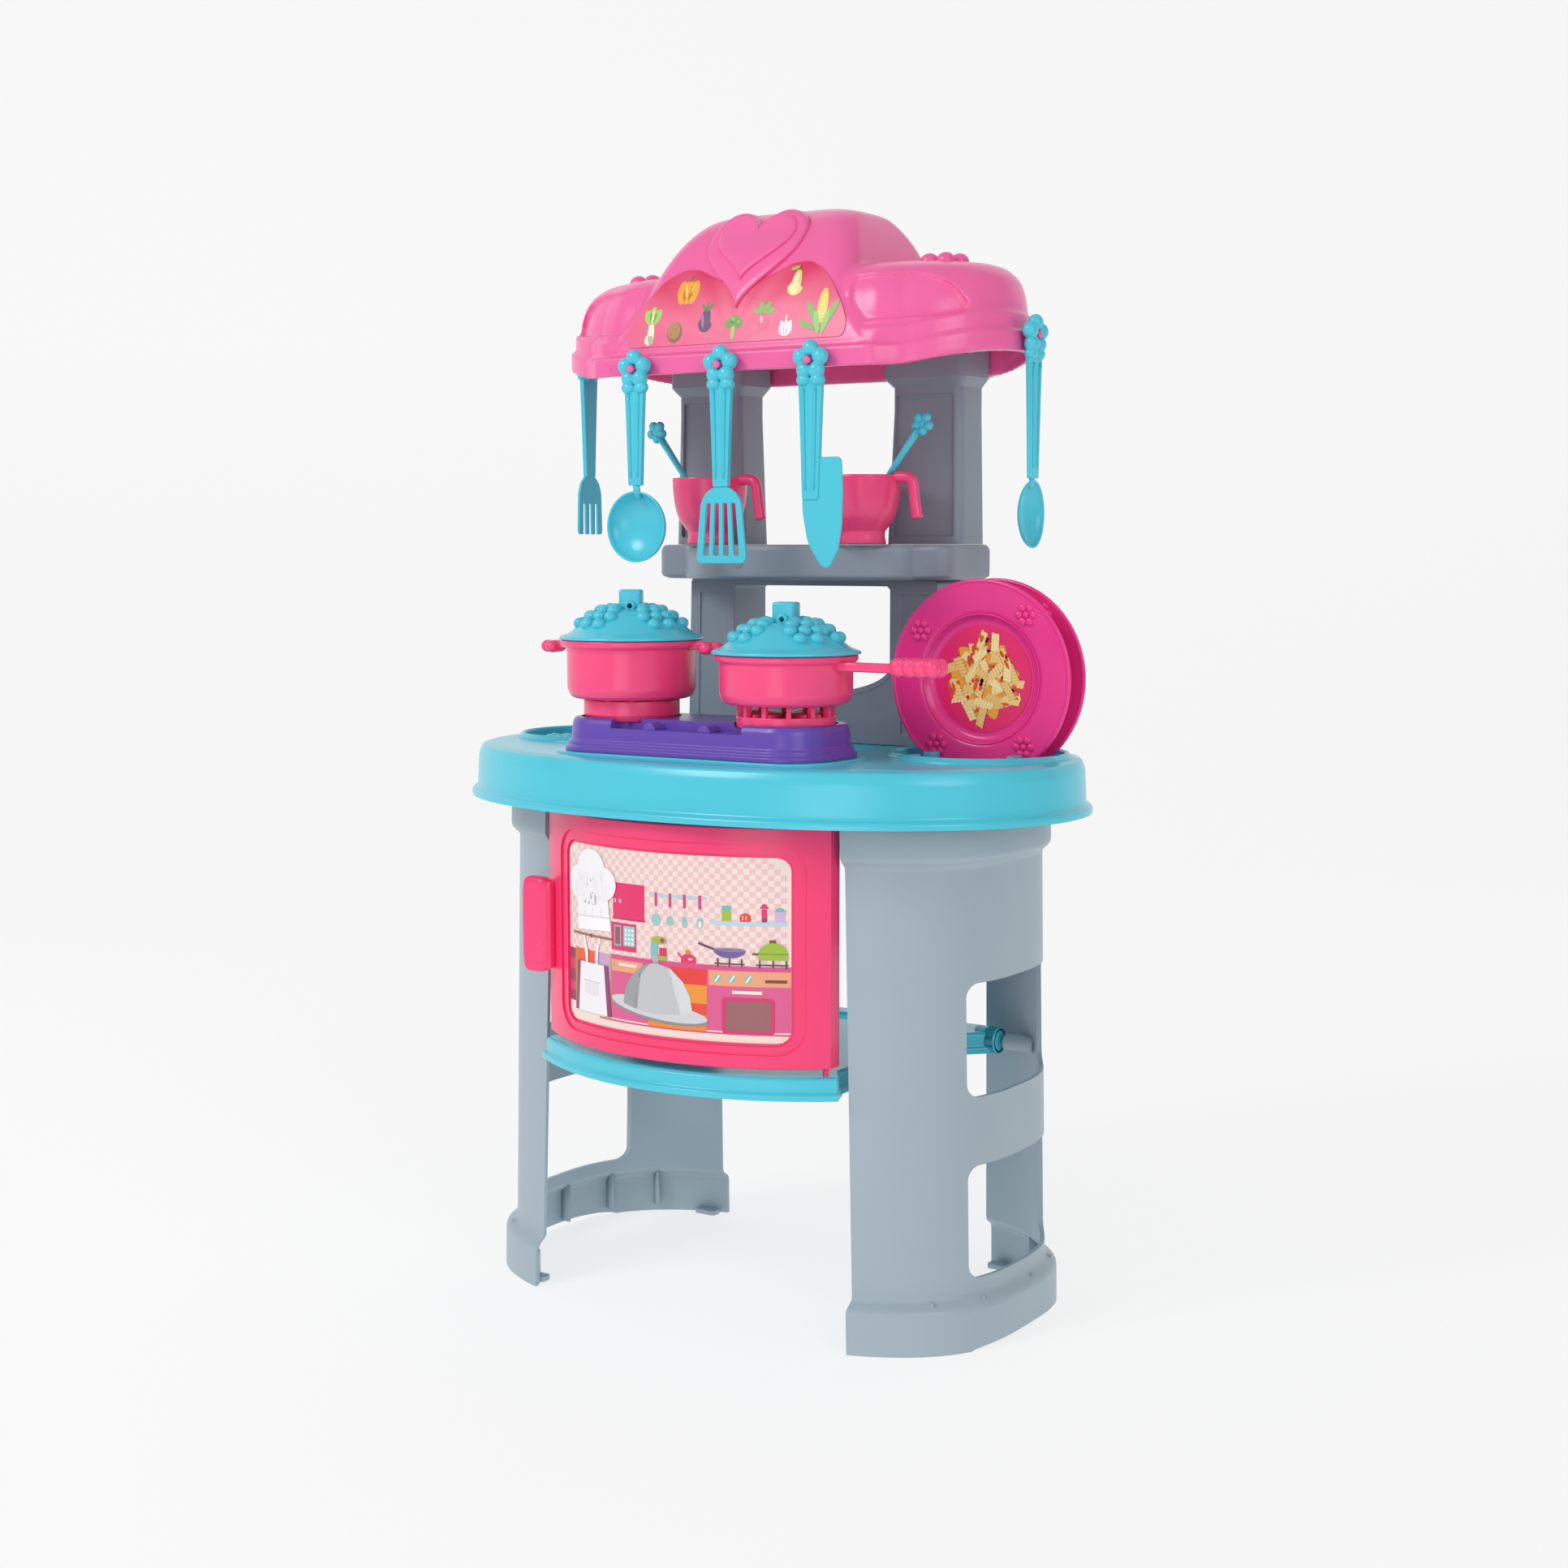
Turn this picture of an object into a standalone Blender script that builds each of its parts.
"""Toy kitchen: two curved leg panels, counter, oven with a hinged door, tower, shelf, hood and play cookware.

Metres, +Z up, the front faces -Y. The origin is on the floor, under the middle of the counter.
"""

from math import acos, asin, atan2, cos, pi, radians, sin, tau

import bmesh
import bpy
from mathutils import Matrix, Vector

# Driving dimensions
GAP = 0.0003  # between pieces that touch
WALL = 0.003  # moulded wall
COUNTER_HALF_X, COUNTER_HALF_Y = 0.250, 0.1635
COUNTER_BOTTOM, COUNTER_TOP = 0.3675, 0.4070
COUNTER_POWER = 2.12  # 2 is an ellipse, more is squarer
PANEL_HALF_X, PANEL_HALF_Y = 0.205, 0.120  # wall under the counter
PANEL_SPREAD = 0.006  # how much wider the wall is at the floor
PANEL_POWER = 2.75
PANEL_TOP = 0.3872
LEG_OPENING_TOP, LEG_OPENING_FLOOR = 0.127, 0.137  # half widths between the panels' front edges
WINDOW_Y, WINDOW_HALF_Y, WINDOW_HEIGHT = 0.010, 0.065, 0.080
WINDOW_CENTRES = (0.088, 0.216)
STUB_Y, STUB_Z, STUB_RADIUS = 0.085, 0.186, 0.0065
TRAY_BOTTOM, TRAY_TOP = 0.177, 0.193
DOOR_BOTTOM, DOOR_TOP, DOOR_HALF = 0.198, 0.361, 0.122
DOOR_EDGE_Y, DOOR_BOW, DOOR_DEPTH = -0.112, 0.043, 0.012
HINGE_X, HINGE_Y, PIN_RADIUS, PIN_CLEARANCE = DOOR_HALF - 0.005, -0.1105, 0.002, 0.0005
PICTURE_X0, PICTURE_X1, PICTURE_Z0, PICTURE_Z1 = 0.033 - DOOR_HALF, DOOR_HALF - 0.023, 0.215, 0.345
BASIN_X, BASIN_Y, BASIN_RING, BASIN_RADIUS = 0.168, 0.014, 0.0665, 0.0605
BASIN_FLOOR, BASIN_RIM = 0.3907, 0.411
TOWER_HALF, TOWER_FRONT, TOWER_BACK = 0.1135, 0.055, 0.100
TOWER_OPENING, SPLASH_TOP = 0.070, 0.445
SHELF_BOTTOM, SHELF_TOP = 0.531, 0.557
COLUMN_IN, COLUMN_OUT, COLUMN_TOP = 0.064, 0.128, 0.700
HOOD_HALF_X, HOOD_FRONT, HOOD_BACK = 0.190, -0.058, 0.104
HOOD_BOTTOM, LOBE_TOP, HUMP_TOP = 0.680, 0.755, 0.800
RIM_RISE = 0.0125  # the rim is higher at the hood's ends
PEG_X, PEG_Z, SIDE_PEG_Z, PEG_RADIUS = 0.0757, 0.684, 0.7033, 0.0026
PEG_HOLE = 0.0033
TOOL_Y, TOOL_SIDE_X, TOOL_SIDE_Y = -0.0645, 0.1965, 0.037
TOOL_THICK, FLOWER = 0.005, 0.0128
CUP_X, CUP_Y, CUP_RIM, CUP_FOOT, CUP_HEIGHT = 0.0675, 0.019, 0.0286, 0.017, 0.050
HOB_HALF_X, HOB_HALF_Y, HOB_Y, HOB_TOP = 0.1115, 0.046, -0.081, 0.433
PAD_TOP = 0.4087
BURNER_X, BURNER_Y, GRATE_TOP, GRATE_RADIUS = 0.067, -0.083, 0.4457, 0.035
POT_BODY, POT_RIM, POT_HEIGHT, EAR_TIP, EAR_TURN = 0.047, 0.052, 0.0425, 0.073, 12
PAN_RIM, PAN_HEIGHT, PAN_REACH, PAN_TURN = 0.0505, 0.035, 0.132, -5
LID_RADIUS = 0.0525
PLATE_RADIUS, PLATE_X, PLATE_Y = 0.071, 0.171, 0.012
PLATE_Z = BASIN_FLOOR + 0.0005 + PLATE_RADIUS  # the plates stand on the basin's floor
PLATE_STEP_Y, PLATE_STEP_Z = 0.0235, 0.0

LOWER_GREY = (0.353, 0.431, 0.468)
UPPER_GREY = (0.266, 0.290, 0.342)
TURQUOISE = (0.078, 0.565, 0.708)
HOT_PINK = (1.0, 0.050, 0.188)
HOOD_PINK = (1.0, 0.159, 0.456)
PURPLE = (0.159, 0.075, 0.434)
MAGENTA = (0.807, 0.030, 0.275)
PAPER = (0.95, 0.62, 0.62)


# Tools

def start():
    """Clears the scene and makes a collection for the parts and one for the cutters."""
    for obj in list(bpy.data.objects):
        bpy.data.objects.remove(obj)
    made = []
    for name in ("ToyKitchen", "Cutters"):
        collection = bpy.data.collections.new(name)
        bpy.context.scene.collection.children.link(collection)
        made.append(collection)
    return made


PARTS, CUTTERS = start()


def keep(name, bm, recalc=True):
    if recalc:
        bmesh.ops.recalc_face_normals(bm, faces=bm.faces)
    mesh = bpy.data.meshes.new(name)
    bm.to_mesh(mesh)
    bm.free()
    obj = bpy.data.objects.new(name, mesh)
    PARTS.objects.link(obj)
    return obj


def lift(point, height, axis):
    """A 2D point put on the plane across an axis, at that height along it."""
    u, v = point
    return {"x": (height, u, v), "y": (u, height, v), "z": (u, v, height)}[axis]


def prism(name, outline, low, high, axis="z"):
    bm = bmesh.new()
    face = bm.faces.new([bm.verts.new(lift(p, low, axis)) for p in outline])
    grown = bmesh.ops.extrude_face_region(bm, geom=[face])["geom"]
    moved = [v for v in grown if isinstance(v, bmesh.types.BMVert)]
    bmesh.ops.translate(bm, verts=moved, vec=lift((0, 0), high - low, axis))
    return keep(name, bm)


def box(name, low, high):
    bm = bmesh.new()
    bmesh.ops.create_cube(bm, size=1)
    size = [b - a for a, b in zip(low, high)]
    middle = [(a + b) / 2 for a, b in zip(low, high)]
    bmesh.ops.scale(bm, verts=bm.verts, vec=size)
    bmesh.ops.translate(bm, verts=bm.verts, vec=middle)
    return keep(name, bm)


def loft(name, rings, cap_first=True, cap_last=True):
    """A skin over closed rings with equal counts of points."""
    bm = bmesh.new()
    rows = [[bm.verts.new(p) for p in ring] for ring in rings]
    for low, high in zip(rows, rows[1:]):
        for i in range(len(low)):
            j = (i + 1) % len(low)
            bm.faces.new((low[i], low[j], high[j], high[i]))
    if cap_first:
        bm.faces.new(rows[0][::-1])
    if cap_last:
        bm.faces.new(rows[-1])
    return keep(name, bm)


def sheet(name, rows, mirrored):
    """An open skin over rows of points, facing out of the right-hand side."""
    bm = bmesh.new()
    grid = [[bm.verts.new(p) for p in row] for row in rows]
    for low, high in zip(grid, grid[1:]):
        for i in range(len(low) - 1):
            corners = (low[i], low[i + 1], high[i + 1], high[i])
            bm.faces.new(corners[::-1] if mirrored else corners)
    return keep(name, bm, recalc=False)


def turned(name, profile, steps, at=(0, 0, 0), closed=False):
    """A profile of (radius, height) turned about Z."""
    bm = bmesh.new()
    points = [bm.verts.new((r, 0, z)) for r, z in profile]
    for a, b in zip(points, points[1:]):
        bm.edges.new((a, b))
    if closed:
        bm.edges.new((points[-1], points[0]))
    obj = keep(name, bm)
    obj.location = at
    screw = obj.modifiers.new("Turn", "SCREW")
    screw.steps = screw.render_steps = steps
    screw.use_merge_vertices = True
    screw.merge_threshold = 0.00001
    return obj


def rod(name, radius, low, high, sides=12):
    """A cylinder between two points."""
    low, high = Vector(low), Vector(high)
    bm = bmesh.new()
    bmesh.ops.create_cone(bm, cap_ends=True, segments=sides, radius1=radius, radius2=radius,
                          depth=(high - low).length)
    turn = (high - low).to_track_quat("Z", "Y").to_matrix().to_4x4()
    bmesh.ops.transform(bm, verts=bm.verts, matrix=Matrix.Translation((low + high) / 2) @ turn)
    return keep(name, bm)


def thicken(obj, wall=WALL):
    solid = obj.modifiers.new("Wall", "SOLIDIFY")
    solid.thickness = wall
    solid.offset = -1
    solid.use_even_offset = True


def combine(obj, other, operation):
    PARTS.objects.unlink(other)
    CUTTERS.objects.link(other)
    other.hide_render = True
    other.display_type = "WIRE"
    modifier = obj.modifiers.new(other.name, "BOOLEAN")
    modifier.operation = operation
    modifier.object = other


def cut(obj, *others):
    for other in others:
        combine(obj, other, "DIFFERENCE")


def join(obj, *others):
    for other in others:
        combine(obj, other, "UNION")


def soften(obj, width, segments=1):
    bevel = obj.modifiers.new("Soft edges", "BEVEL")
    bevel.width = width
    bevel.segments = segments
    bevel.limit_method = "ANGLE"
    bevel.angle_limit = radians(50)


def finish(obj, colour, roughness=0.3, origin=None):
    """Gives the piece its own material, smooth shading and an origin."""
    material = bpy.data.materials.new(obj.name)
    material.use_nodes = True
    shader = material.node_tree.nodes["Principled BSDF"]
    shader.inputs["Base Color"].default_value = (*colour, 1)
    shader.inputs["Roughness"].default_value = roughness
    shader.inputs["Metallic"].default_value = 0
    obj.data.materials.append(material)
    obj.data.shade_smooth()
    obj.data.set_sharp_from_angle(angle=radians(35))
    if origin:
        obj.data.transform(Matrix.Translation(-Vector(origin)))
        obj.location = origin
    return obj


def adopt(child, parent):
    child.parent = parent
    child.matrix_parent_inverse = Matrix.Translation(-parent.location)


# Outlines

def super_point(a, b, power, angle):
    c, s = cos(angle), sin(angle)
    return (a * abs(c) ** (2 / power) * (1 if c >= 0 else -1),
            b * abs(s) ** (2 / power) * (1 if s >= 0 else -1))


def super_ring(a, b, power, z, count=44, centre=(0, 0)):
    ring = [super_point(a, b, power, tau * i / count) for i in range(count)]
    return [(x + centre[0], y + centre[1], z) for x, y in ring]


def round_rect(x0, x1, y0, y1, r, steps=4):
    points = []
    corners = ((x1 - r, y1 - r, 0), (x0 + r, y1 - r, 90), (x0 + r, y0 + r, 180), (x1 - r, y0 + r, 270))
    for cx, cy, start_angle in corners:
        for i in range(steps + 1):
            angle = radians(start_angle + 90 * i / steps)
            points.append((cx + r * cos(angle), cy + r * sin(angle)))
    return points


def bow(half, edge_y, rise, count=12):
    """Points of an arc from -half to half that bulges forward (-Y) by rise."""
    radius = (half * half + rise * rise) / (2 * rise)
    reach = asin(half / radius)
    middle = edge_y - rise + radius
    return [(radius * sin(reach * (2 * i / count - 1)),
             middle - radius * cos(reach * (2 * i / count - 1))) for i in range(count + 1)]


def circle(cx, cy, r, count):
    return [(cx + r * cos(tau * i / count), cy + r * sin(tau * i / count)) for i in range(count)]


def petals(cx, cy, outer, lobes=5, dip=0.16, count=30, turn=90):
    """A flower outline whose lobes reach the outer radius."""
    points = []
    for i in range(count):
        angle = tau * i / count
        r = outer * (1 - dip * (1 - abs(cos(lobes * angle / 2))) * 1.6)
        points.append((cx + r * cos(angle + radians(turn)), cy + r * sin(angle + radians(turn))))
    return points


def heart(cx, z0, z1, half, count=24):
    points = []
    for i in range(count):
        t = tau * i / count
        x = sin(t) ** 3
        y = (13 * cos(t) - 5 * cos(2 * t) - 2 * cos(3 * t) - cos(4 * t) + 17) / 29
        points.append((cx + half * x, z0 + (z1 - z0) * y))
    return points


# Legs and counter

def panel_row(side, a, b, z, front_x, rear_x, count=15):
    start_angle = -acos((front_x / a) ** (PANEL_POWER / 2))
    end_angle = acos((rear_x / a) ** (PANEL_POWER / 2))
    row = []
    for i in range(count + 1):
        x, y = super_point(a, b, PANEL_POWER, start_angle + (end_angle - start_angle) * i / count)
        row.append((side * x, y + 0.004, z))
    return row


def side_panel(name, side):
    """A curved wall with a flared base, a ledge under the counter and two windows."""
    def row(z, out):
        low = 1 - z / COUNTER_BOTTOM
        return panel_row(side, PANEL_HALF_X + PANEL_SPREAD * low + out,
                         PANEL_HALF_Y + PANEL_SPREAD * low + out, z,
                         LEG_OPENING_TOP + (LEG_OPENING_FLOOR - LEG_OPENING_TOP) * low, 0.1245)
    steps = ((0, 0.008), (0.031, 0.008), (0.036, 0), (0.338, 0), (0.3425, 0.006), (0.3655, 0.006),
             (0.3672, 0), (PANEL_TOP, 0))
    panel = sheet(name, [row(z, out) for z, out in steps], side < 0)
    thicken(panel)
    for number, z in enumerate(WINDOW_CENTRES):
        outline = round_rect(WINDOW_Y - WINDOW_HALF_Y, WINDOW_Y + WINDOW_HALF_Y,
                             z - WINDOW_HEIGHT / 2, z + WINDOW_HEIGHT / 2, 0.010)
        cut(panel, prism(f"{name}_window_{number}", outline, side * 0.15, side * 0.25, "x"))
    arch = [(-0.062, -0.01), (0.072, -0.01)] + [
        (0.005 + 0.067 * cos(pi * i / 12), 0.0042 * sin(pi * i / 12)) for i in range(13)]
    cut(panel, prism(f"{name}_arch", arch, side * 0.18, side * 0.25, "x"))
    low, high = sorted((side * 0.10, side * 0.24))
    cut(panel, box(f"{name}_floor", (low, -0.15, -0.01), (high, 0.16, 0)))
    for end, (x, y) in (("front", (0.148, -0.1005)), ("rear", (0.138, 0.114))):
        pad = round_rect(x - 0.010, x + 0.010, y - 0.0055, y + 0.0055, 0.003, 2)
        join(panel, prism(f"{name}_{end}_foot", [(side * u, v) for u, v in pad], 0, 0.004))
    join(panel, rod(f"{name}_stub", STUB_RADIUS, (side * 0.155, STUB_Y, STUB_Z),
                    (side * 0.1795, STUB_Y, STUB_Z), 16))
    return finish(panel, LOWER_GREY, 0.42)


def countertop():
    """A shell with a bead along its rim, a basin at each side and a pad under the hob."""
    profile = ((0, COUNTER_BOTTOM), (0, 0.3715), (0.004, 0.3737), (0.0055, 0.398), (0.0085, 0.4045),
               (0.0145, COUNTER_TOP))
    rings = [super_ring(COUNTER_HALF_X - inset, COUNTER_HALF_Y - inset, COUNTER_POWER, z)
             for inset, z in profile]
    top = loft("countertop", rings, cap_first=False)
    thicken(top)
    pad = round_rect(-0.117, 0.117, HOB_Y - 0.051, HOB_Y + 0.051, 0.036, 4)
    join(top, prism("hob_pad", pad, COUNTER_TOP - 0.002, PAD_TOP))
    for side, label in ((-1, "left"), (1, "right")):
        x = side * BASIN_X
        join(top, prism(f"{label}_ring", circle(x, BASIN_Y, BASIN_RING, 28), 0.3877, BASIN_RIM))
        cut(top, prism(f"{label}_basin", circle(x, BASIN_Y, BASIN_RADIUS, 28), BASIN_FLOOR, 0.42))
    for number, (x, y) in enumerate(((-0.186, -0.008), (-0.186, 0.036), (-0.144, 0.014))):
        join(top, prism(f"rack_post_{number}", petals(x, y, 0.013, count=20), 0.3897, 0.4095))
    for number, x in enumerate((0.138, 0.204)):
        join(top, box(f"plate_wall_{number}", (x - 0.002, -0.006, 0.3897), (x + 0.002, 0.054, 0.410)))
    for number in range(2):
        y = PLATE_Y + number * PLATE_STEP_Y
        cut(top, box(f"plate_slot_{number}", (0.130, y - 0.0065, 0.3917), (0.212, y + 0.0065, 0.42)))
    for number in range(6):
        x = 0.004 + 0.012 * number
        slot = round_rect(x - 0.0025, x + 0.0025, -0.012, 0.048, 0.002, 2)
        cut(top, prism(f"drain_slot_{number}", slot, 0.39, 0.42))
    join(top, rod("hinge_boss", 0.0050, (HINGE_X, HINGE_Y, COUNTER_BOTTOM - 0.002),
                  (HINGE_X, HINGE_Y, 0.405), 16))
    cut(top, rod("hinge_boss_hole", PIN_RADIUS + PIN_CLEARANCE, (HINGE_X, HINGE_Y, 0.36),
                 (HINGE_X, HINGE_Y, 0.378), 12))
    return finish(top, TURQUOISE, 0.25)


# Oven

def oven_tray():
    """The oven's floor: a bowed lip in front and arms that reach the stubs behind."""
    def outline(inset):
        front = bow(0.1295 - inset, -0.114 + inset, 0.044)
        rear = [(0.1200, -0.092), (0.1200, 0.052), (0.1475, 0.078), (0.1475, 0.096),
                (0.1350, 0.104)]
        rear = [(x - inset, y - (inset if y > 0.1 else 0)) for x, y in rear]
        return front + rear + [(-x, y) for x, y in rear[::-1]]
    profile = ((0, TRAY_BOTTOM), (0, 0.1805), (0.0025, 0.1815), (0.0025, 0.1915), (0.004, TRAY_TOP))
    rings = [[(x, y, z) for x, y in outline(inset)] for inset, z in profile]
    tray = loft("oven_tray", rings)
    hollow = outline(0.0060)
    cut(tray, prism("tray_hollow", hollow, 0.17, TRAY_TOP - 0.0028))
    for side, label in ((-1, "left"), (1, "right")):
        join(tray, rod(f"{label}_socket", 0.0100, (side * 0.132, STUB_Y, STUB_Z),
                       (side * 0.1620, STUB_Y, STUB_Z), 20))
        cut(tray, rod(f"{label}_socket_bore", STUB_RADIUS + GAP, (side * 0.150, STUB_Y, STUB_Z),
                      (side * 0.170, STUB_Y, STUB_Z), 16))
    cut(tray, prism("tray_hole", round_rect(-0.085, 0.085, 0.060, 0.084, 0.010), 0.17, 0.20))
    join(tray, rod("pin_socket", 0.0050, (HINGE_X, HINGE_Y, 0.1800), (HINGE_X, HINGE_Y, 0.1921), 16))
    cut(tray, rod("pin_socket_hole", PIN_RADIUS + PIN_CLEARANCE, (HINGE_X, HINGE_Y, 0.1835),
                  (HINGE_X, HINGE_Y, 0.20), 12))
    return finish(tray, TURQUOISE, 0.25)


def door_slab(name, out, back, low, high, half=DOOR_HALF, count=14):
    """A bowed slab between two arcs, measured inward from the door's outer face."""
    outer = bow(half, DOOR_EDGE_Y - out, DOOR_BOW, count)
    inner = bow(half, DOOR_EDGE_Y + back, DOOR_BOW, count)[::-1]
    return prism(name, outer + inner, low, high)


def oven_door():
    """A bowed shell, open behind, with a recess for the picture, a handle tab and two pivot pins."""
    door = door_slab("oven_door", 0, DOOR_DEPTH, DOOR_BOTTOM, DOOR_TOP)
    cut(door, door_slab("door_hollow", -0.0037, 0.02, DOOR_BOTTOM + 0.004, DOOR_TOP - 0.004,
                        DOOR_HALF - 0.004))
    window = prism("door_recess_outline",
                   round_rect(PICTURE_X0, PICTURE_X1, PICTURE_Z0, PICTURE_Z1, 0.010), -0.2, -0.1, "y")
    recess = door_slab("door_recess", 0.01, 0.0012, 0.20, 0.36)
    combine(recess, window, "INTERSECT")
    cut(door, recess)
    tab = [(0.010, 0.245), (-0.006, 0.245), (-0.0125, 0.250), (-0.014, 0.258), (-0.014, 0.301),
           (-0.0125, 0.309), (-0.006, 0.314), (0.010, 0.314)]
    tab = [(x - DOOR_HALF, z) for x, z in tab]
    join(door, prism("door_tab", tab, -0.1290, -0.1185, "y"))
    block = [(x - DOOR_HALF, z) for x, z in ((0.001, 0.250), (0.010, 0.250), (0.010, 0.309), (0.001, 0.309))]
    join(door, prism("door_tab_root", block, -0.1195, -0.1020, "y"))
    for label, low, high in (("lower", 0.1870, 0.2005), ("upper", 0.3590, 0.3745)):
        join(door, rod(f"{label}_pin", PIN_RADIUS, (HINGE_X, HINGE_Y, low), (HINGE_X, HINGE_Y, high)))
    for label, low, high in (("lower", 0.1990, 0.2040), ("upper", 0.3555, 0.3600)):
        join(door, box(f"pin_lug_{label}", (HINGE_X - 0.0045, -0.1142, low),
                       (HINGE_X + 0.0045, -0.1035, high)))
    return finish(door, HOT_PINK, 0.28, (HINGE_X, HINGE_Y, (DOOR_BOTTOM + DOOR_TOP) / 2))


def door_picture():
    """The printed sheet in the door's recess."""
    sheet_part = door_slab("door_picture", -0.0004, 0.0009, 0.20, 0.36)
    inset = 0.0004
    outline = round_rect(PICTURE_X0 + inset, PICTURE_X1 - inset, PICTURE_Z0 + inset,
                         PICTURE_Z1 - inset, 0.0096)
    combine(sheet_part, prism("picture_outline", outline, -0.2, -0.1, "y"), "INTERSECT")
    return finish(sheet_part, PAPER, 0.35, (HINGE_X, HINGE_Y, (DOOR_BOTTOM + DOOR_TOP) / 2))


# Tower

def lower_tower():
    """Two legs, a back splash and a tall opening."""
    low, high = COUNTER_TOP + GAP, SHELF_BOTTOM - GAP
    outline = [(-TOWER_HALF, low), (TOWER_HALF, low), (TOWER_HALF - 0.003, high),
               (0.003 - TOWER_HALF, high)]
    tower = prism("lower_tower", outline, TOWER_FRONT, TOWER_BACK, "y")
    scoop = [(TOWER_OPENING * cos(pi + pi * i / 12), SPLASH_TOP + 0.022 + 0.022 * sin(pi + pi * i / 12))
             for i in range(13)]
    scoop += [(TOWER_OPENING, 0.518), (0.062, 0.526), (-0.062, 0.526), (-TOWER_OPENING, 0.518)]
    cut(tower, prism("tower_opening", scoop, 0.03, 0.12, "y"))
    for side, label in ((-1, "left"), (1, "right")):
        hollow = [(side * (TOWER_OPENING + WALL), low + WALL), (side * (TOWER_HALF - WALL), low + WALL),
                  (side * (TOWER_HALF - 2 * WALL), high - WALL),
                  (side * (TOWER_OPENING + WALL), high - WALL)]
        cut(tower, prism(f"{label}_leg_hollow", hollow, TOWER_FRONT + WALL, 0.12, "y"))
    cut(tower, box("splash_hollow", (-0.066, TOWER_FRONT + WALL, low + WALL), (0.066, 0.12, 0.438)))
    return finish(tower, UPPER_GREY, 0.45)


def shelf():
    """A bowed shelf between two end blocks."""
    def outline(inset):
        half = 0.130 - inset
        front = bow(0.0985, 0.030 + inset, 0.045, 14)
        block = [(0.1010, 0.034 + inset), (half - 0.006, 0.035 + inset), (half, 0.041 + inset),
                 (half, 0.100 - inset)]
        return front + block + [(-x, y) for x, y in block[::-1]]
    profile = ((0.002, SHELF_BOTTOM), (0, 0.5335), (0, 0.5535), (0.0035, SHELF_TOP))
    board = loft("shelf", [[(x, y, z) for x, y in outline(i)] for i, z in profile])
    cut(board, box("shelf_hollow_left", (-0.124, 0.044, 0.52), (-0.004, 0.094, 0.5535)),
        box("shelf_hollow_right", (0.004, 0.044, 0.52), (0.124, 0.094, 0.5535)))
    return finish(board, UPPER_GREY, 0.45)


def upper_column(name, side):
    """A tapered column, hollow behind, with a wider head inside the hood."""
    def ring(z, inner, outer, front, back):
        points = round_rect(inner, outer, front, back, 0.005, 2)
        return [(side * x, y, z) for x, y in points]
    levels = ((SHELF_TOP + GAP, 0.064, 0.128, 0.058, 0.097), (0.655, 0.068, 0.126, 0.060, 0.097),
              (0.674, 0.068, 0.126, 0.060, 0.097), (0.6775, 0.062, 0.131, 0.055, 0.099),
              (COLUMN_TOP, 0.062, 0.131, 0.055, 0.099))
    column = loft(name, [ring(*level) for level in levels])
    cut(column, box(f"{name}_hollow", (min(side * 0.072, side * 0.122), 0.064, 0.561),
                    (max(side * 0.072, side * 0.122), 0.11, 0.696)))
    return finish(column, UPPER_GREY, 0.45)


# Hood

def rim_rise(x, z):
    """How far the rim is raised towards the hood's ends, which fades out above the bands."""
    t = min(1.0, max(0.0, (abs(x) - 0.125) / 0.070))
    return RIM_RISE * t * t * (3 - 2 * t) * min(1.0, max(0.0, (0.748 - z) / 0.040))


def hood_plan(z, inset, step_back=0.0, shrink_x=1.0, shrink_y=1.0):
    """The hood's plan: a straight front between two lobes that end nearly in half rounds."""
    half = [(0.056 * i, HOOD_FRONT) for i in range(3)]
    half += [(0.120, -0.0555), (0.127, -0.0490), (0.132, -0.0440)]
    for i in range(6):
        angle = radians(-70 + 14 * i)
        half.append((0.110 + 0.080 * cos(angle), 0.0345 + 0.080 * sin(angle)))
    for i in range(1, 6):
        angle = radians(18 * i)
        half.append((0.120 + 0.070 * cos(angle), HOOD_BACK - 0.070 + 0.070 * sin(angle)))
    full = half + [(-x, y) for x, y in half[::-1][:-1]]
    ring = []
    for x, y in full:
        y += step_back * max(0.0, (-0.0440 - y) / 0.0140)
        rise = rim_rise(x, z)
        x *= (HOOD_HALF_X - inset) / HOOD_HALF_X * shrink_x
        y = HOOD_BACK - (HOOD_BACK - y) * (1 - inset / 0.16)
        ring.append((x, 0.060 + (y - 0.060) * shrink_y, z + rise))
    return ring


# The hump's height, half width, front and back
HUMP = ((0.6975, 0.122, -0.0510, 0.1035), (0.7100, 0.111, -0.0482, 0.1035),
        (0.7200, 0.103, -0.0457, 0.1035), (0.7310, 0.0955, -0.0422, 0.1035),
        (0.7450, 0.0880, -0.0365, 0.1030), (0.7600, 0.0805, -0.0285, 0.1000),
        (0.7750, 0.0725, -0.0180, 0.0940), (0.7870, 0.0640, -0.0060, 0.0850),
        (0.7960, 0.0545, 0.0080, 0.0740), (HUMP_TOP, 0.0430, 0.0220, 0.0600))


def hump_rings(shrink=0.0):
    rings = []
    for z, half, front, back in HUMP:
        points = round_rect(-half + shrink, half - shrink, front + shrink, back - shrink,
                            min(0.018, half / 3), 2)
        rings.append([(x, y, z - (shrink if z > 0.72 else 0.02 * (shrink > 0))) for x, y in points])
    return rings


def front_slab(name, out, back, half):
    """A slab that follows the hump's front, from out in front of it to back behind it."""
    front = [(y - out, z) for z, _, y, _ in HUMP]
    behind = [(y + back, z) for z, _, y, _ in HUMP[::-1]]
    return prism(name, front + behind, -half, half, "x")


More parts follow.
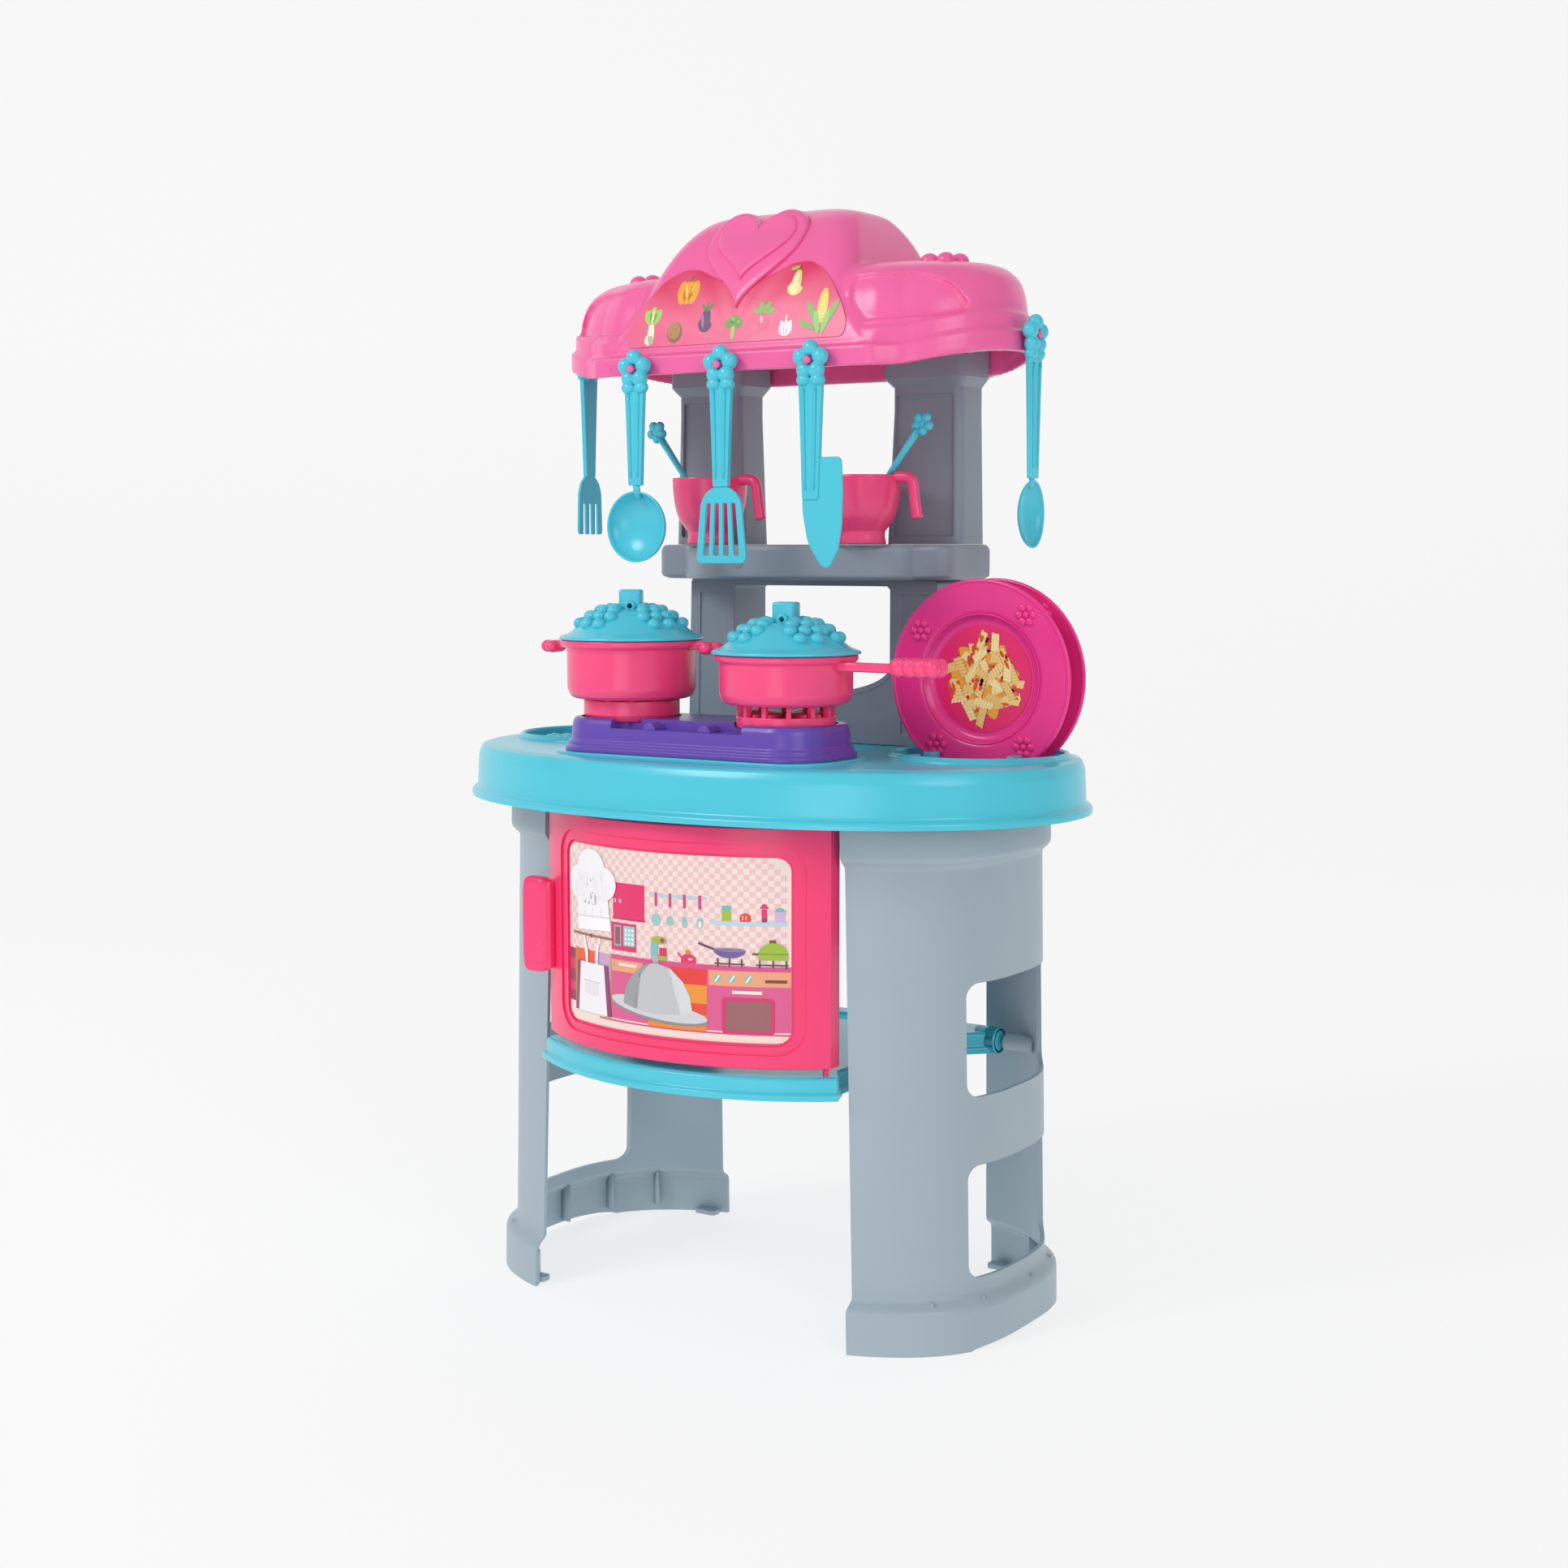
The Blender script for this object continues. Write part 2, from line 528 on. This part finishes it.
def hood():
    """The pink shell: rim bands, two side lobes, a bell-shaped hump, a heart, flowers and pegs."""
    levels = ((HOOD_BOTTOM, 0, 0, 1, 1), (0.6940, 0, 0, 1, 1), (0.6955, 0.0028, 0.004, 1, 1),
              (0.7065, 0.0033, 0.008, 1, 1), (0.7085, 0.0058, 0.008, 1, 1),
              (0.7220, 0.0066, 0.008, 0.995, 0.985), (0.7350, 0.0066, 0.008, 0.980, 0.945),
              (0.7450, 0.0066, 0.008, 0.955, 0.880), (0.7515, 0.0066, 0.008, 0.915, 0.790),
              (LOBE_TOP, 0.0066, 0.008, 0.860, 0.680))
    body = loft("hood", [hood_plan(*level) for level in levels])
    join(body, loft("hood_hump", hump_rings()))
    rings = []
    for z, inset, step_back, shrink_x, shrink_y in ((HOOD_BOTTOM - 0.01, 0, 0, 1, 1), *levels[1:]):
        ring = hood_plan(z, inset + 0.0032, step_back, shrink_x, shrink_y)
        drop = WALL if z > 0.69 else 0
        rings.append([(x, min(y, HOOD_BACK - WALL), top - drop) for x, y, top in ring])
    cut(body, loft("hood_hollow", rings), loft("hump_hollow", hump_rings(WALL)))
    for side, label in ((-1, "left"), (1, "right")):
        low, high = min(side * 0.058, side * 0.131), max(side * 0.058, side * 0.131)
        join(body, box(f"{label}_column_seat", (low, 0.050, COLUMN_TOP + GAP),
                       (high, HOOD_BACK - 0.0020, COLUMN_TOP + GAP + WALL)))
        flower = [[(u, v, z) for u, v in petals(side * 0.128, 0.030, r, count=20)]
                  for z, r in ((0.7520, 0.0170), (0.7600, 0.0160), (0.7630, 0.0120))]
        join(body, loft(f"{label}_flower", flower))
    emblem = front_slab("hood_heart", 0.0030, 0.0060, 0.06)
    combine(emblem, prism("heart_outline", heart(0, 0.7275, 0.7950, 0.040), -0.08, 0.05, "y"), "INTERSECT")
    join(body, emblem)
    for number, x in enumerate((-PEG_X, 0, PEG_X)):
        join(body, rod(f"front_peg_{number}", PEG_RADIUS, (x, -0.0560, PEG_Z), (x, -0.0710, PEG_Z)))
    for side, label in ((-1, "left"), (1, "right")):
        join(body, rod(f"{label}_peg", PEG_RADIUS, (side * 0.1882, TOOL_SIDE_Y, SIDE_PEG_Z),
                       (side * 0.2025, TOOL_SIDE_Y, SIDE_PEG_Z)))
    return finish(body, HOOD_PINK, 0.25)


def hood_picture():
    """The printed sheet on the hood's front, cut out round the heart."""
    arch = [(0.0925, 0.7005), (0.0945, 0.7110), (0.0890, 0.7230), (0.0790, 0.7380), (0.0680, 0.7500),
            (0.0540, 0.7570), (0.0400, 0.7560), (0.0280, 0.7490), (0.0100, 0.7300)]
    arch += [(-x, z) for x, z in arch[::-1]]
    picture = front_slab("hood_picture", 0.0011, -GAP, 0.12)
    combine(picture, prism("picture_arch", arch, -0.08, 0.02, "y"), "INTERSECT")
    cut(picture, prism("picture_heart", heart(0, 0.7245, 0.7990, 0.0425), -0.08, 0.02, "y"))
    return finish(picture, (0.95, 0.15, 0.35), 0.4)


# Hanging utensils: each hangs by the hole of its flower and swings on its peg

def blade_round(cx, cz, a, b, count=24):
    return [(cx + a * cos(tau * i / count), cz + b * sin(tau * i / count)) for i in range(count)]


def handle(top, bottom, half_top, half_bottom):
    return [(-half_top, top), (-half_bottom, bottom), (half_bottom, bottom), (half_top, top)]


def utensil(name, shapes, hole_up=0.0):
    """A flower head with a hole, a handle and a flat end, in its own XZ plane, the hole at the origin."""
    t = TOOL_THICK / 2
    body = prism(name, petals(0, 0, FLOWER), -t, t, "y")
    for number, (outline, low, high) in enumerate(shapes):
        join(body, prism(f"{name}_shape_{number}", outline, low, high, "y"))
    cut(body, rod(f"{name}_hole", PEG_HOLE, (0, -0.01, 0), (0, 0.01, 0)))
    return body


def hang(tool, at, turn=0.0):
    """Moves a utensil and its cutters to its peg."""
    move = Matrix.Translation(at) @ Matrix.Rotation(turn, 4, "Z")
    for modifier in tool.modifiers:
        if modifier.type == "BOOLEAN":
            modifier.object.matrix_world = move @ modifier.object.matrix_world
    tool.matrix_world = move


def bowl(name, cz, a, b, depth, wall=0.0018):
    """A shallow oval bowl that opens towards -Y: half an ellipsoid less a smaller one."""
    made = []
    for label, shrink in (("", 0), ("_inside", wall)):
        bm = bmesh.new()
        bmesh.ops.create_uvsphere(bm, u_segments=16, v_segments=8, radius=1)
        bmesh.ops.scale(bm, verts=bm.verts, vec=(a - shrink, depth - shrink, b - shrink))
        bmesh.ops.translate(bm, verts=bm.verts, vec=(0, -0.0010, cz))
        made.append(keep(name + label, bm))
    return made


def ladle():
    tool = utensil("ladle", [(handle(-0.008, -0.092, 0.0062, 0.0040), -0.0020, 0.0020)])
    outside, inside = bowl("ladle_bowl", -0.114, 0.026, 0.026, 0.014)
    join(tool, outside)
    cut(tool, inside, box("ladle_front", (-0.03, -0.03, -0.145), (0.03, -0.0009, -0.0885)))
    hang(tool, (-PEG_X, TOOL_Y, PEG_Z))
    return finish(tool, TURQUOISE, 0.25)


def spatula():
    blade = [(-0.008, -0.088), (-0.0165, -0.097), (-0.0215, -0.138), (-0.0180, -0.1405),
             (0.0180, -0.1405), (0.0215, -0.138), (0.0165, -0.097), (0.008, -0.088)]
    tool = utensil("spatula", [(handle(-0.008, -0.092, 0.0075, 0.0055), -0.0020, 0.0020),
                               (blade, -0.0010, 0.0010)])
    for number in range(4):
        x = -0.0120 + 0.008 * number
        slot = [(x * 0.85 - 0.0020, -0.100), (x - 0.0022, -0.1345), (x + 0.0022, -0.1345),
                (x * 0.85 + 0.0020, -0.100)]
        cut(tool, prism(f"spatula_slot_{number}", slot, -0.01, 0.01, "y"))
    hang(tool, (0, TOOL_Y, PEG_Z))
    return finish(tool, TURQUOISE, 0.25)


def knife():
    blade = [(-0.0035, -0.067), (0.0150, -0.067), (0.0200, -0.073), (0.0235, -0.090),
             (0.0235, -0.118), (0.0200, -0.134), (0.0130, -0.1435), (0.0070, -0.140),
             (-0.0020, -0.122), (-0.0060, -0.100)]
    tool = utensil("knife", [(handle(-0.008, -0.100, 0.0085, 0.0060), -0.0020, 0.0020),
                             (blade, -0.0008, 0.0008)])
    hang(tool, (PEG_X, TOOL_Y, PEG_Z))
    return finish(tool, TURQUOISE, 0.25)


def spoon():
    tool = utensil("spoon", [(handle(-0.008, -0.107, 0.0075, 0.0045), -0.0020, 0.0020)])
    outside, inside = bowl("spoon_bowl", -0.1250, 0.0165, 0.0240, 0.0080)
    join(tool, outside)
    cut(tool, inside, box("spoon_front", (-0.02, -0.02, -0.152), (0.02, -0.0009, -0.1070)))
    hang(tool, (TOOL_SIDE_X, TOOL_SIDE_Y, SIDE_PEG_Z), pi / 2)
    return finish(tool, TURQUOISE, 0.25)


def fork():
    head = [(-0.0045, -0.093), (-0.0125, -0.103), (-0.0130, -0.135), (-0.0115, -0.1380),
            (0.0115, -0.1380), (0.0130, -0.135), (0.0125, -0.103), (0.0045, -0.093)]
    tool = utensil("fork", [(handle(-0.008, -0.099, 0.0075, 0.0045), -0.0020, 0.0020),
                            (head, -0.0010, 0.0010)])
    for number in range(3):
        x = -0.0067 + 0.0067 * number
        slot = [(x - 0.0017, -0.115), (x - 0.0017, -0.15), (x + 0.0017, -0.15), (x + 0.0017, -0.115)]
        cut(tool, prism(f"fork_slot_{number}", slot, -0.01, 0.01, "y"))
    hang(tool, (-TOOL_SIDE_X, TOOL_SIDE_Y, SIDE_PEG_Z), -pi / 2)
    return finish(tool, TURQUOISE, 0.25)


# Cups and their stirrers

def cup(name, side):
    """A round cup on a foot, with a strap that hangs from the rim."""
    x, base = side * CUP_X, SHELF_TOP + GAP
    rise = CUP_HEIGHT
    profile = [(0, 0.0035), (0.0130, 0.0040), (0.0180, 0.0085), (0.0235, 0.0180), (0.0262, 0.0320),
               (0.0266, rise), (CUP_RIM, rise), (0.0283, 0.0320), (0.0256, 0.0170), (0.0205, 0.0070),
               (CUP_FOOT, 0.0040), (CUP_FOOT, 0), (0, 0)]
    body = turned(name, profile, 22, (x, CUP_Y, base))
    strap = [(0.0272, rise), (0.0400, rise), (0.0440, rise - 0.003), (0.0480, 0.0170),
             (0.0455, 0.0165), (0.0405, rise - 0.0045), (0.0380, rise - 0.0035), (0.0272, rise - 0.0035)]
    strap = [(x + u, base + v) for u, v in strap]
    join(body, prism(f"{name}_strap", strap, CUP_Y - 0.004, CUP_Y + 0.004, "y"))
    return finish(body, HOT_PINK, 0.28)


def stirrer(name, side, lean):
    """A stick with a flower end, leaning out of a cup."""
    direction = Vector((lean * cos(radians(53)), 0, sin(radians(53))))
    rim_point = Vector((side * CUP_X + lean * 0.0222, CUP_Y, SHELF_TOP + CUP_HEIGHT))
    low = rim_point - direction * 0.0530
    high = rim_point + direction * 0.0400
    stick = rod(name, 0.0023, low, high, 8)
    head = petals(0, 0, 0.0085, count=20)
    flower = prism(f"{name}_flower", head, -0.0022, 0.0022, "y")
    turn = Matrix.Rotation(lean * radians(37), 4, "Y")
    flower.data.transform(Matrix.Translation(high + direction * 0.005) @ turn)
    join(stick, flower)
    return finish(stick, TURQUOISE, 0.25, tuple(rim_point))


# Hob, pot and pan

def hob():
    """The purple hob: a stepped base, two burner wells and a recess with two bumps in front."""
    def ring(inset, z):
        points = round_rect(-HOB_HALF_X + inset, HOB_HALF_X - inset, HOB_Y - HOB_HALF_Y + inset,
                            HOB_Y + HOB_HALF_Y - inset, 0.035 - inset, 7)
        return [(x, y - 0.004 * (1 - (x / HOB_HALF_X) ** 2) * (y < HOB_Y), z) for x, y in points]
    base = PAD_TOP + GAP
    profile = ((0, base), (0, base + 0.003), (0.002, base + 0.004), (0.002, base + 0.0070),
               (0.0040, base + 0.008), (0.0055, 0.4300), (0.0085, HOB_TOP))
    plate = loft("hob", [ring(inset, z) for inset, z in profile])
    cut(plate, prism("hob_hollow", round_rect(-0.098, 0.098, HOB_Y - 0.034, HOB_Y + 0.034, 0.024, 3),
                     0.40, 0.4215))
    recess = round_rect(-0.056, 0.056, -0.142, -0.108, 0.008, 3)
    cut(plate, prism("hob_recess", recess, 0.4265, 0.44))
    for side, label in ((-1, "left"), (1, "right")):
        cut(plate, prism(f"{label}_well", circle(side * BURNER_X, BURNER_Y, 0.0366, 28), 0.4300, 0.44))
        join(plate, rod(f"{label}_bump", 0.0056, (side * 0.0235, -0.1225, 0.4262),
                        (side * 0.0235, -0.1060, 0.4262), 16))
    return finish(plate, PURPLE, 0.3)


def grate(name, side):
    """A ring with crossing bars that holds a pan above the hob."""
    x, base, top = side * BURNER_X, 0.4300 + GAP, GRATE_TOP
    inner = GRATE_RADIUS - 0.0055
    profile = [(GRATE_RADIUS, 0.0080), (GRATE_RADIUS, 0), (inner, 0), (inner, 0.0080)]
    ring = turned(name, profile, 24, (x, BURNER_Y, base), closed=True)
    for number in range(3):
        bar = box(f"{name}_bar_{number}", (-0.0330, -0.0016, 0.0035), (0.0330, 0.0016, top - base))
        bar.data.transform(Matrix.Translation((x, BURNER_Y, base))
                           @ Matrix.Rotation(pi * number / 3 + 0.2, 4, "Z"))
        join(ring, bar)
    return finish(ring, HOT_PINK, 0.3)


POT_BASE = GRATE_TOP + GAP


def pot():
    h = POT_HEIGHT
    profile = [(0, 0.0025), (0.0400, 0.0025), (0.0440, 0.0060), (0.0452, h - 0.004), (0.0480, h),
               (POT_RIM, h), (POT_RIM, h - 0.0022), (0.0475, h - 0.0050), (POT_BODY, 0.0060),
               (0.0425, 0), (0, 0)]
    at = (-BURNER_X, BURNER_Y, POT_BASE)
    body = turned("pot", profile, 28, at)
    for side, label in ((-1, "left"), (1, "right")):
        ear = [(0.0465, -0.0120), (0.0620, -0.0120), (0.0690, -0.0095), (EAR_TIP, -0.0035),
               (EAR_TIP, 0.0035), (0.0690, 0.0095), (0.0620, 0.0120), (0.0465, 0.0120)]
        piece = prism(f"{label}_ear", [(side * u, v) for u, v in ear], h - 0.0075, h - 0.0025)
        piece.data.transform(Matrix.Translation(at) @ Matrix.Rotation(radians(EAR_TURN), 4, "Z"))
        join(body, piece)
    return finish(body, HOT_PINK, 0.28)


def pan():
    h = PAN_HEIGHT
    profile = [(0, 0.0025), (0.0400, 0.0025), (0.0440, 0.0060), (0.0452, h - 0.004), (0.0470, h),
               (PAN_RIM, h), (PAN_RIM, h - 0.0022), (0.0475, h - 0.0050), (POT_BODY, 0.0060),
               (0.0425, 0), (0, 0)]
    at = (BURNER_X, BURNER_Y, POT_BASE)
    body = turned("pan", profile, 28, at)
    grip = [(0.0465, -0.0040), (0.0900, -0.0045), (0.0940, -0.0075), (0.1270, -0.0078),
            (PAN_REACH, -0.0040), (PAN_REACH, 0.0040), (0.1270, 0.0078), (0.0940, 0.0075),
            (0.0900, 0.0045), (0.0465, 0.0040)]
    stem = prism("pan_stem", grip, h - 0.0120, h - 0.0030)
    stem.data.transform(Matrix.Translation(at) @ Matrix.Rotation(radians(PAN_TURN), 4, "Z"))
    join(body, stem)
    return finish(body, HOT_PINK, 0.28)


def lid(name, x, rim_z):
    """A domed lid with a locating lip under it and a square knob."""
    r = LID_RADIUS
    profile = [(0.0405, -0.0030), (0.0405, 0.0005), (0.0330, 0.0090), (0.0200, 0.0170), (0, 0.0200),
               (0, 0.0235), (0.0220, 0.0205), (0.0360, 0.0120), (0.0470, 0.0035), (r, 0.0022),
               (r, 0), (0.0430, 0), (0.0430, -0.0030)]
    at = (x, BURNER_Y, rim_z + GAP)
    dome = turned(name, profile, 28, at, closed=True)
    knob = round_rect(-0.0085, 0.0085, -0.0085, 0.0085, 0.003, 2)
    rings = [[(u * s + x, v * s + BURNER_Y, at[2] + z) for u, v in knob]
             for s, z in ((1.0, 0.0215), (0.82, 0.0280), (0.95, 0.0310), (0.95, 0.0345), (0.80, 0.0360))]
    join(dome, loft(f"{name}_knob", rings))
    return finish(dome, TURQUOISE, 0.25)


# Plates

def plate(name, y, z):
    """A round plate standing on edge, its well towards the front."""
    r = PLATE_RADIUS
    profile = [(0, -0.0022), (0.0400, -0.0022), (0.0460, 0.0030), (0.0690, 0.0050),
               (r, 0.0045), (r, 0.0028), (0.0470, 0.0008), (0.0415, -0.0045), (0, -0.0045)]
    disc = turned(name, profile, 32, (PLATE_X, y, z))
    disc.rotation_euler = (pi / 2, 0, 0)
    return finish(disc, MAGENTA, 0.28)


def plate_picture(name, y, z):
    """The printed food in the well, a thin disc."""
    face = circle(PLATE_X, z, 0.0380, 24)
    front = y + 0.0022 - GAP
    return finish(prism(name, face, front - 0.0007, front, "y"), (0.95, 0.55, 0.2), 0.4)


def build():
    side_panel("left_side_panel", -1)
    side_panel("right_side_panel", 1)
    countertop()
    oven_tray()
    adopt(door_picture(), oven_door())
    lower_tower()
    shelf()
    upper_column("left_upper_column", -1)
    upper_column("right_upper_column", 1)
    hood()
    hood_picture()
    ladle()
    spatula()
    knife()
    spoon()
    fork()
    for label, side in (("left", -1), ("right", 1)):
        cup(f"{label}_cup", side)
        stirrer(f"{label}_stirrer", side, side)
        grate(f"{label}_grate", side)
    hob()
    for vessel, x, rim in ((pot(), -BURNER_X, POT_HEIGHT), (pan(), BURNER_X, PAN_HEIGHT)):
        lid(f"{vessel.name}_lid", x, POT_BASE + rim)
    for number, label in enumerate(("front", "rear")):
        y, z = PLATE_Y + number * PLATE_STEP_Y, PLATE_Z + number * PLATE_STEP_Z
        plate(f"{label}_plate", y, z)
        plate_picture(f"{label}_plate_picture", y, z)


build()
